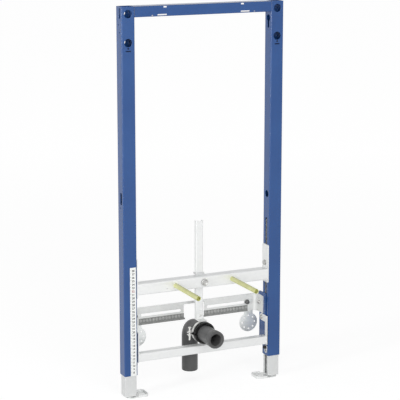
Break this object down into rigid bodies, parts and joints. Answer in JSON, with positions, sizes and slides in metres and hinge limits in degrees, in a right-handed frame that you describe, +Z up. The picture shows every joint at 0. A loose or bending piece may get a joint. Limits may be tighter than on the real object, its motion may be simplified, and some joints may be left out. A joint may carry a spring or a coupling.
{
  "type": "bidet installation frame",
  "caption": "Blue steel wall frame on telescopic feet that carries a bidet on sleeved studs, with a waste bend on a height rail and sliding tap connector plates.",
  "frame": {"origin": "on the floor, under the middle of the whole part's box", "axes": "+X along the wall to the right as seen from the room, +Y into the wall, +Z up"},
  "size_m": [0.5, 0.279, 1.12],
  "materials": {
    "blue_paint": "powder coat, satin",
    "galvanised_sheet": "zinc coated, smooth",
    "pressed_steel": "zinc coated, pressed",
    "zinc_fastener": "zinc plated",
    "black_fastener": "black oxide",
    "drain_plastic": "matte",
    "black_rubber": "matte",
    "sleeve_plastic": "soft plastic tube",
    "label_film": "printed film"
  },
  "bodies": {
    "frame": {"left_upright": "blue_paint", "right_upright": "blue_paint", "top_crossbar": "blue_paint", "left_rear_bracket": "blue_paint", "right_rear_bracket": "blue_paint", "bidet_traverse": "galvanised_sheet", "left_traverse_plate": "galvanised_sheet", "right_traverse_plate": "galvanised_sheet", "rail_guide": "galvanised_sheet", "lower_crossbar": "galvanised_sheet", "left_lower_plate": "galvanised_sheet", "right_lower_plate": "galvanised_sheet", "water_bracket": "pressed_steel", "left_traverse_bolt": "zinc_fastener", "right_traverse_bolt": "zinc_fastener", "left_stud": "zinc_fastener", "right_stud": "zinc_fastener", "left_stud_nut": "zinc_fastener", "right_stud_nut": "zinc_fastener", "rail_knob": "zinc_fastener", "left_bracket_screw": "zinc_fastener", "right_bracket_screw": "zinc_fastener", "left_lower_screw": "zinc_fastener", "right_lower_screw": "zinc_fastener", "left_foot_lock": "black_fastener", "right_foot_lock": "black_fastener", "left_stud_sleeve": "sleeve_plastic", "right_stud_sleeve": "sleeve_plastic", "scale_label": "label_film"},
    "drain": {"drain_rail": "galvanised_sheet", "rail_hanger": "galvanised_sheet", "waste_bend": "drain_plastic", "outlet_seal": "black_rubber", "clamp_lining": "black_rubber", "pipe_clamp": "zinc_fastener", "clamp_bolt": "zinc_fastener"},
    "left_connector": {"left_connector_plate": "pressed_steel", "left_connector_bolt": "black_fastener"},
    "left_foot": {"left_foot_tube": "galvanised_sheet", "left_foot_plate": "galvanised_sheet"},
    "right_connector": {"right_connector_plate": "pressed_steel", "right_connector_bolt": "black_fastener"},
    "right_foot": {"right_foot_tube": "galvanised_sheet", "right_foot_plate": "galvanised_sheet"}
  },
  "joints": [
    {"name": "drain_height", "type": "slide", "parent": "frame", "child": "drain", "axis": [0, 0, 1], "range_m": [0, 0.04]},
    {"name": "left_connector_shift", "type": "slide", "parent": "frame", "child": "left_connector", "axis": [1, 0, 0], "range_m": [0, 0.118]},
    {"name": "left_foot_extension", "type": "slide", "parent": "frame", "child": "left_foot", "axis": [0, 0, -1], "range_m": [-0.054, 0.146]},
    {"name": "right_connector_shift", "type": "slide", "parent": "frame", "child": "right_connector", "axis": [-1, 0, 0], "range_m": [0, 0.118]},
    {"name": "right_foot_extension", "type": "slide", "parent": "frame", "child": "right_foot", "axis": [0, 0, -1], "range_m": [-0.054, 0.146]}
  ]
}
